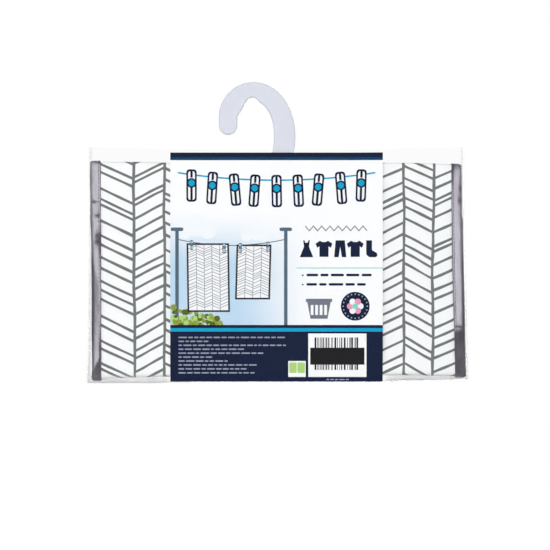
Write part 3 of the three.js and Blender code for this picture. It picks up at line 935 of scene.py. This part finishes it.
def towel(x, y, width, height, lean, columns):
    """A cloth that hangs from a line, dark-edged, with grey herringbone columns."""
    hem = 1.4
    pitch = (width - 2 * hem) / columns
    rise = 0.42 * pitch
    shapes = [
        ("line", bar(x, y, width, height)),
        ("linen", bar(x + hem, y + hem, width - 2 * hem, height - 2 * hem)),
    ]
    for k in range(columns):
        left = x + hem + k * pitch
        right = left + pitch
        level = y + hem + chance.uniform(0.3, 1.5)
        while level < y + height - hem - rise - 0.5:
            start, end = (level, level + rise) if k % 2 else (level + rise, level)
            slanted = [(left, start), (right, end), (right, end + 0.45), (left, start + 0.45)]
            shapes.append(("grey", slanted))
            level += chance.uniform(1.4, 3.2)
        if k:
            shapes.append(("grey", bar(left - 0.2, y + hem, 0.4, height - 2 * hem)))
    return [(ink, [(px + lean * (py - y) / height, py) for px, py in outline]) for ink, outline in shapes]


def bush(x, y, width, height, leaves):
    """Foliage as overlapping leaf tufts, higher at its far end."""
    shapes = []
    for _ in range(leaves):
        across = chance.uniform(0, 1)
        up = chance.uniform(0, 0.35 + 0.65 * across)
        ink = chance.choice(["moss", "grass", "grass", "leaf"])
        tuft = disc(x + width * across, y - height * up, chance.uniform(1.2, 2.6), 12)
        shapes.append((ink, [(px, min(py, y)) for px, py in tuft]))
    return shapes


def flower(x, y, radius):
    """A six-petalled flower on a round dark ground with a ring of dots."""
    shapes = [("navy", disc(x, y, radius, 56))]
    shapes += [("mist", disc(*spot, 0.055 * radius, 10)) for spot in disc(x, y, 0.84 * radius, 20)]
    petals = [disc(*spot, 0.22 * radius, 20) for spot in disc(x, y, 0.36 * radius, 6)]
    shapes += zip(["linen", "rose"] * 3, petals)
    return shapes + [("teal", disc(x, y, 0.2 * radius, 24))]


def bands():
    """The bands across the top and foot, the same on the front and the back."""
    return [
        ("navy", bar(0, 0, CARD_WIDTH, 3.7)),
        ("blue", bar(0, 3.7, CARD_WIDTH, 2.4)),
        ("navy", bar(0, FOOT_TOP, CARD_WIDTH, CARD_RUN / 2 - FOOT_TOP)),
        ("cyan", bar(0, FOOT_TOP + 2.4, CARD_WIDTH, 2.9)),
    ]


def garden():
    """Towels on a drying line between two posts, under a pale sky."""
    shapes = [("sky", bar(0, 40, 118, 99))]
    clouds = (30, 62, 7), (21, 58, 9), (11, 62, 7), (76, 66, 5), (69, 63, 7), (61, 66, 5)
    shapes += [("cloud", disc(*cloud)) for cloud in clouds]
    for x in (4, 91):
        shapes += [("slate", bar(x, 62, 2.8, 77)), ("slate", pill(x - 3.6, 60, 10, 2.8, 1.2))]
    shapes.append(("slate", sagging(5.4, 92.4, 69, 5, 0.7)))
    shapes += bush(40, 139, -40, 17, 90)
    shapes += towel(13, 72.6, 34, 55, 0.8, 5)
    shapes += towel(53, 73.6, 28, 44, -1.2, 4)
    for x, y in ((17, 71.4), (43, 73.8), (56, 73.8), (78, 72.6)):
        shapes += peg(x, y, 8)
    return shapes


def front_print():
    """The front: a garden, pegs on a line, garments, a basket and a flower, bands and lines of bars."""
    shapes = garden()
    shapes.append(("cyan", sagging(6, 164, 15.5, 6, 1.3)))
    for k in range(9):
        x = 17 + 17 * k
        y = 16 + 6 * (1 - ((x - CARD_WIDTH / 2) / 79) ** 2)
        shapes += peg(x, y, 26, 0.09 * sin(2.4 * k))

    zigzag = [(108 + 3.3 * k, 62 if k % 2 else 58.2) for k in range(16)]
    shapes.append(("grey", zigzag + [(x, y + 1.2) for x, y in reversed(zigzag)]))
    for x, garment in zip((109, 123, 136, 148, 160), (DRESS, SHIRT, TROUSERS, SHIRT, SOCK)):
        shapes.append(("navy", [(x + 13.5 * px, 77 + 13.5 * py) for px, py in garment]))
    shapes.append(("teal", bar(101, 92, CARD_WIDTH - 101, 0.8)))
    for y, width in ((97, 54), (104.5, 48)):
        shapes += [("navy", disc(106, y + 1.2, 0.7, 12)), *dashes(109, y, width, 2.0, "navy")]
    shapes.append(("grey", [(109.5, 119), (128.5, 119), (125.8, 133), (112.2, 133)]))
    shapes += [("board", bar(112.4 + 3.6 * k, 122, 2.2, 8)) for k in range(4)]
    shapes.append(("grey", bar(108.5, 117, 21, 2.6)))
    shapes += flower(148, 123, 11.5)

    shapes += bands()
    for k, width in enumerate((86, 24, 86, 55, 68, 27, 42, 64, 57, 61)):
        shapes += dashes(6.5, 147.4 + 3.15 * k, width, 1.1, "mist")
    shapes.append(("board", bar(110.4, 144.8, 46.6, 34.8)))
    at = 115.5
    while at < 151:
        thick = chance.choice([0.5, 0.9, 1.4])
        shapes.append(("black", bar(at, 148, thick, 26)))
        at += thick + chance.choice([0.5, 0.8, 1.3])
    shapes.append(("black", bar(112, 156.2, 43.4, 13.6)))
    shapes += dashes(125, 181.2, 18, 0.9, "mist")
    shapes.append(("board", bar(94.4, 166.8, 14, 12.8)))
    return shapes + [("leaf", pill(x, 168, 6, 8.4, 0.8)) for x in (95.2, 101.7)]


def back_print():
    """The back, as seen from behind: bands, three round pictures and lines of bars."""
    shapes = bands() + [("navy", pill(12, 16, 74, 9, 3))]
    for x in (35, 85, 135):
        shapes += [("navy", disc(x, 58, 20, 56)), ("cloud", disc(x, 58, 18.6, 56))]
        shapes.append(("slate", sagging(x - 17, x + 17, 51, 2.2, 1.2)))
        shapes += dashes(x - 18, 84, 36, 2, "navy")
        shapes += dashes(x - 15, 89, 28, 2, "grey")
    shapes += peg(35, 53.5, 20)
    shapes += towel(74, 53, 22, 15, 0.6, 3)
    for x in (126, 135, 144):
        shapes += peg(x, 53, 15)
    for k, width in enumerate((140, 128, 136, 90)):
        shapes += dashes(14, 106 + 6.2 * k, width, 2.2, "grey")
    for k, width in enumerate((120, 96, 112, 70)):
        shapes += dashes(14, 151 + 6 * k, width, 1.6, "mist")
    return [(ink, [(CARD_WIDTH - x, CARD_RUN - y) for x, y in outline]) for ink, outline in shapes]


def card_lift(x):
    """How far the card's side edges curl forwards, off the cloth."""
    return 1.6 * ease(x, CARD_WIDTH - 32, CARD_WIDTH) ** 2 + 0.5 * (1 - ease(x, 0, 26)) ** 2


def fold_card(flat):
    """Points on the flat card as points on its outer face, folded to a U."""
    x, run = flat.T
    ends = np.cumsum([CARD_FRONT - CARD_FOLD, QUARTER_TURN, CARD_DEPTH - 2 * CARD_FOLD, QUARTER_TURN])
    near_y, far_y = card_low.y, card_high.y - CARD_FOLD
    fold_z = card_low.z + CARD_FOLD
    first = (run - ends[0]) / CARD_FOLD
    last = (run - ends[2]) / CARD_FOLD
    zones = [run < end for end in ends]
    y = [
        near_y - card_lift(x) * (1 - ease(run, CARD_FRONT - CURL_DROP, CARD_FRONT)),
        near_y + CARD_FOLD * (1 - np.cos(first)),
        near_y + CARD_FOLD + run - ends[1],
        far_y + CARD_FOLD * np.sin(last),
    ]
    z = [
        card_high.z - run,
        fold_z - CARD_FOLD * np.sin(first),
        card_low.z + 0 * run,
        fold_z - CARD_FOLD * np.cos(last),
    ]
    behind = far_y + CARD_FOLD, fold_z + run - ends[3]
    return xyz(card_low.x + x, np.select(zones, y, behind[0]), np.select(zones, z, behind[1]))


def split_long(outline):
    """The outline with points along its long edges, so that these bend with the card."""
    points = []
    for start, end in zip(outline, outline[1:] + outline[:1]):
        steps = ceil(dist(start, end) / BEND_STEP)
        points += [tuple(np.array(start) + (np.array(end) - start) * (k / steps)) for k in range(steps)]
    return points


def card():
    """The printed card: its outer face is cut along the print's edges, and each part takes its ink."""
    shapes = [("board", bar(0, 0, CARD_WIDTH, CARD_RUN))] + front_print() + back_print()
    points = []
    outlines = []
    for ink, outline in shapes:
        fine = split_long(outline)
        turn = sum(a[0] * b[1] - b[0] * a[1] for a, b in zip(fine, fine[1:] + fine[:1]))
        ordered = fine if turn > 0 else fine[::-1]
        outlines.append(list(range(len(points), len(points) + len(ordered))))
        points += [(min(max(x, 0), CARD_WIDTH), y) for x, y in ordered]
    folds = CARD_FRONT - CARD_FOLD + QUARTER_TURN * np.linspace(0, 1, 5)
    edges = []
    for level in (*folds, *(CARD_RUN - folds)):
        edges.append((len(points), len(points) + 1))
        points += [(0, level), (CARD_WIDTH, level)]
    for x in np.linspace(5, CARD_WIDTH - 5, 33):
        for y in np.linspace(7, CARD_FRONT - 7, 25):
            points += [(x, y), (x, CARD_RUN - y)]
    made = geometry.delaunay_2d_cdt([Vector(p) for p in points], edges, outlines, 1, 1e-4)
    flat = np.array([tuple(p) for p in made[0]])
    faces = [face[::-1] for face in made[2]]
    materials = list(INKS.values())
    last = len(materials) - 1
    piece = make_piece("printed_card", "card", fold_card(flat), materials, CARD, -1, last, faces)
    ink_order = list(INKS)
    for polygon, holders in zip(piece.data.polygons, made[5]):
        polygon.material_index = ink_order.index(shapes[max(holders)][0])
    note(piece, "card_mm", xyz(*flat.T, 0))
    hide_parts("card")
    return piece


printed_card = card()

# Pouch

FILM_FRONT_Y = film_low.y + FILM / 2
FILM_BACK_Y = film_high.y - FILM / 2
WELD_Y = (FILM_FRONT_Y + FILM_BACK_Y) / 2
FILM_TOP_Z = film_high.z
FILM_LOW_Z = film_low.z
CORNER_START = BAG_HALF - 2
WELD_X = BAG_HALF + 1.8
WELD_GAP = 0.14  # from the weld's middle to each film
LIP_X = film_high.x
FOOT_RISE = 6.5  # height of the crumpled foot
CRUMPLE = 1.5  # how far its crumples stand out
TOP_WAVER = 0.35  # how far the open edges waver
LIP_WAVER = 0.3  # and the welded lips
LEFT_SHIFT, RIGHT_SHIFT = -1.4, 3.4  # how far right its sides lie at the foot
FILM_ROWS = 80


def film_lift(x):
    """How far the front film stands off where the card's edges curl under it."""
    return 1.8 * np.exp(-(((x - card_high.x) / 27) ** 2)) + 0.55 * np.exp(-(((x - card_low.x) / 22) ** 2))


def pouch():
    """One film folded across the bottom and welded down both sides, crumpled under the bag."""
    corner = CORNER_START + (WELD_X - CORNER_START) * np.sin(np.linspace(0, 1, 9) * pi / 2)
    right = np.concatenate([corner, np.linspace(WELD_X, LIP_X, 4)[1:]])
    x = np.concatenate([-right[::-1], np.linspace(-CORNER_START, CORNER_START, 240)[1:-1], right])
    out = np.abs(x)
    side = x / LIP_X
    to_weld = np.clip((out - CORNER_START) / (WELD_X - CORNER_START), 0, 1) ** 5
    off_card = ease(out, card_high.x, card_high.x + 6)
    inside = 1 - ease(out, CORNER_START - 6, WELD_X)
    crumples = off_card * inside
    low = FILM_LOW_Z - 0.2 - 0.6 * ease(-x, 85, 95)
    low += 1.3 * ease(x, 87, 96) + 0.8 * ease(x, 96, LIP_X)
    bend = FILM_LOW_Z + FOOT_RISE
    fold_line = FOLD_Z + read_off(FOLD_LIFT, x)
    over_tape = ease(out, BAG_HALF - BINDING_WIDTH - 4, BAG_HALF - BINDING_WIDTH)
    murky = crumples * (1.02 + 0.78 * ease(x, 85, 100))

    def facets(seed, along):
        """Sharp-ridged crumples, 0 to 1."""
        coarse = np.abs(drift(seed, x / 11, along / 5))
        fine = np.abs(drift(seed + 0.5, x / 4.2, along / 2.6))
        return 1 - np.clip(1.5 * coarse + 0.7 * fine, 0, 1)

    def beside_tape(z):
        """1 where the film runs free between a side tape and its weld, at the heights z."""
        depth = np.clip(z / FILM_LOW_Z, 0, 1)
        tape_edge = np.where(x < 0, BAG_HALF - 2 * depth**6, BAG_HALF + 0.4)
        return ease(out, tape_edge - 0.6, tape_edge + 0.4)

    def in_foot(z):
        """1 in the crumpled foot, 0 well above it."""
        return ease(-z, -bend - 3, -bend)

    def sheet_row(front, z, low_down):
        """Depths of the film's front or back at the heights z, where low_down is 1 in its crumpled foot."""
        plane, way = (FILM_FRONT_Y, -1) if front else (FILM_BACK_Y, 1)
        rise = film_lift(x) if front else 0.2
        wrinkle = 0.22 * (1 + drift(21.0 + front, x / 34, z / 60))
        wrinkle += 0.1 * (1 + drift(23.0 + front, x / 9, z / 40))
        near_side = np.exp(-(((out - CORNER_START + 8) / 9) ** 2))
        tension = 0.25 * near_side * (1 + drift(25.0 + front, x / 22, z / 7))
        face = plane + way * inside * (rise + wrinkle + tension)
        face = face + way * low_down * crumples * CRUMPLE * facets(27.0 + front, z)
        return face + (WELD_Y + way * WELD_GAP - face) * to_weld

    def leaned(y, z):
        """The film's lean, with the bag's, and its wavy welded lips."""
        depth = np.clip(z / FILM_LOW_Z, 0, 1)
        shift = np.where(x > 0, RIGHT_SHIFT * depth**1.5 - 0.2, LEFT_SHIFT * depth**6)
        wave = LIP_WAVER * np.sign(x) * drift(31.0, z / 26, np.sign(x) * 2)
        return xyz(x + (shift + wave) * side**4, y, z)

    front_top = FILM_TOP_Z - 1.6 + 2.4 * side**2
    back_top = front_top + 0.6 + TOP_WAVER * drift(39.0, x / 20, 0)
    front_top = front_top + TOP_WAVER * drift(33.0, x / 20, 0)
    rows = []
    haze = []
    for t in np.linspace(0, 1, FILM_ROWS):
        z = front_top * (1 - t) + bend * t
        rows.append(leaned(sheet_row(True, z, in_foot(z)), z))
        by_weld = 0.08 + 0.75 * ease(t, 0.4, 0.75) + 0.5 * ease(t, 0.85, 1)
        haze.append(0.1 * in_foot(z) * crumples + by_weld * beside_tape(z))
    near = rows[-1][:, 1]
    far = sheet_row(False, bend + 0 * x, 1)
    squared = 0.3 + 0.25 * off_card
    for angle in np.linspace(0, pi, 31)[1:-1]:
        way = np.sign(cos(angle))
        across = way * abs(cos(angle)) ** squared
        down = sin(angle) ** squared
        z = bend - (bend - low) * down
        y = (near + far) / 2 + across * (near - far) / 2 - way * crumples * CRUMPLE * facets(37.0, z)
        z = z + crumples * (facets(35.0, angle * 4) - 0.3) * (1.15 - down)
        rows.append(leaned(y, z))
        clear = 0.8 * over_tape * ease(z, fold_line - 1.5, fold_line)
        haze.append(murky * (1 - clear) * (0.3 + 0.7 * down) + 0.6 * beside_tape(z))
    for t in np.linspace(0, 1, FILM_ROWS):
        z = bend * (1 - t) + back_top * t
        rows.append(leaned(sheet_row(False, z, in_foot(z)), z))
        haze.append(0 * x)
    piece = make_piece("film_pouch", "pouch", np.array(rows), [FILM_CLEAR], FILM)
    amount = piece.data.attributes.new("film_haze", "FLOAT", "POINT")
    amount.data.foreach_set("value", np.array(haze, np.float32).ravel())
    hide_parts("front_film", "back_film", "left_weld", "right_weld", "bottom_fold")
    return piece


film = pouch()

# Floor, light and background

FLOOR_Z = -0.8
FLOOR_HALF = 12.0
FLOOR_ALBEDO = 0.42
AMBIENT = 0.4  # light from all round; the camera and reflections of what is behind the pack see white
WHITE = (1, 1, 1, 1)
LIT_POINT = Vector((0.018, 0, -0.12))


def light_paths(add):
    """1 where the camera sees a surface, and 1 where it is seen in a gloss or through a clear piece."""
    ray = add("LightPath").outputs
    bounced = add("Math", [ray["Is Glossy Ray"], ray["Is Transmission Ray"]], "MAXIMUM")
    return ray["Is Camera Ray"], bounced


def pale_floor(add):
    """Matt white floor: white to the eye, and a little darker in the pack's shadow."""
    by_camera, bounced = light_paths(add)
    seen = add("Math", [by_camera, bounced], "MAXIMUM")
    glow = add("Math", [seen, 1 - FLOOR_ALBEDO * AMBIENT], "MULTIPLY")
    matt = add("BsdfDiffuse", {"Color": (FLOOR_ALBEDO, FLOOR_ALBEDO, FLOOR_ALBEDO, 1)})
    white = add("Emission", {"Color": WHITE, "Strength": glow})
    return add("AddShader", [matt, white])


floor_mesh = bpy.data.meshes.new("floor")
floor_corners = bar(-FLOOR_HALF, -FLOOR_HALF, 2 * FLOOR_HALF, 2 * FLOOR_HALF)
floor_mesh.from_pydata([(x, y, FLOOR_Z) for x, y in floor_corners], [], [(0, 1, 2, 3)])
floor_mesh.materials.append(new_material("matt_white_floor", pale_floor))
new_object("floor", floor_mesh)

world = bpy.data.worlds.new("white_studio")
bpy.context.scene.world = world
add = node_adder(world)
by_camera, bounced = light_paths(add)
direction = add("TexCoord").outputs["Generated"]
ahead = add("SeparateXYZ", [direction]).outputs["Y"]
behind = add("MapRange", {"Value": ahead, "From Min": 0.0, "From Max": 0.4})
mirrored = add("Math", [bounced, behind], "MULTIPLY")
shown = add("Math", [by_camera, mirrored], "MAXIMUM")
strength = add("MapRange", {"Value": shown, "To Min": AMBIENT, "To Max": 1.0})
light = add("Background", {"Color": WHITE, "Strength": strength})
add("OutputWorld", [light])


def softbox(name, place_at, wide, tall, watts):
    """A soft lamp that faces the pack and is not seen itself."""
    lamp = bpy.data.lights.new(name, "AREA")
    lamp.shape = "RECTANGLE"
    lamp.size = wide
    lamp.size_y = tall
    lamp.energy = watts
    holder = new_object(name, lamp)
    holder.location = place_at
    holder.rotation_euler = (LIT_POINT - Vector(place_at)).to_track_quat("-Z", "Y").to_euler()
    holder.visible_camera = False


softbox("key_softbox", (-0.8, -1.3, 0.55), 0.9, 0.9, 5)
softbox("front_softbox", (0.0, -2.2, -0.05), 1.6, 1.2, 25.5)
softbox("right_softbox", (1.1, -0.9, 0.1), 0.4, 1.0, 2)
softbox("left_softbox", (-1.1, -0.7, -0.1), 0.35, 1.0, 1.5)
softbox("back_softbox", (0.3, 1.6, 0.0), 0.9, 0.9, 20)

bpy.context.scene.cycles.transparent_max_bounces = 32  # many layers of film stand one behind another
bpy.context.view_layer.update()
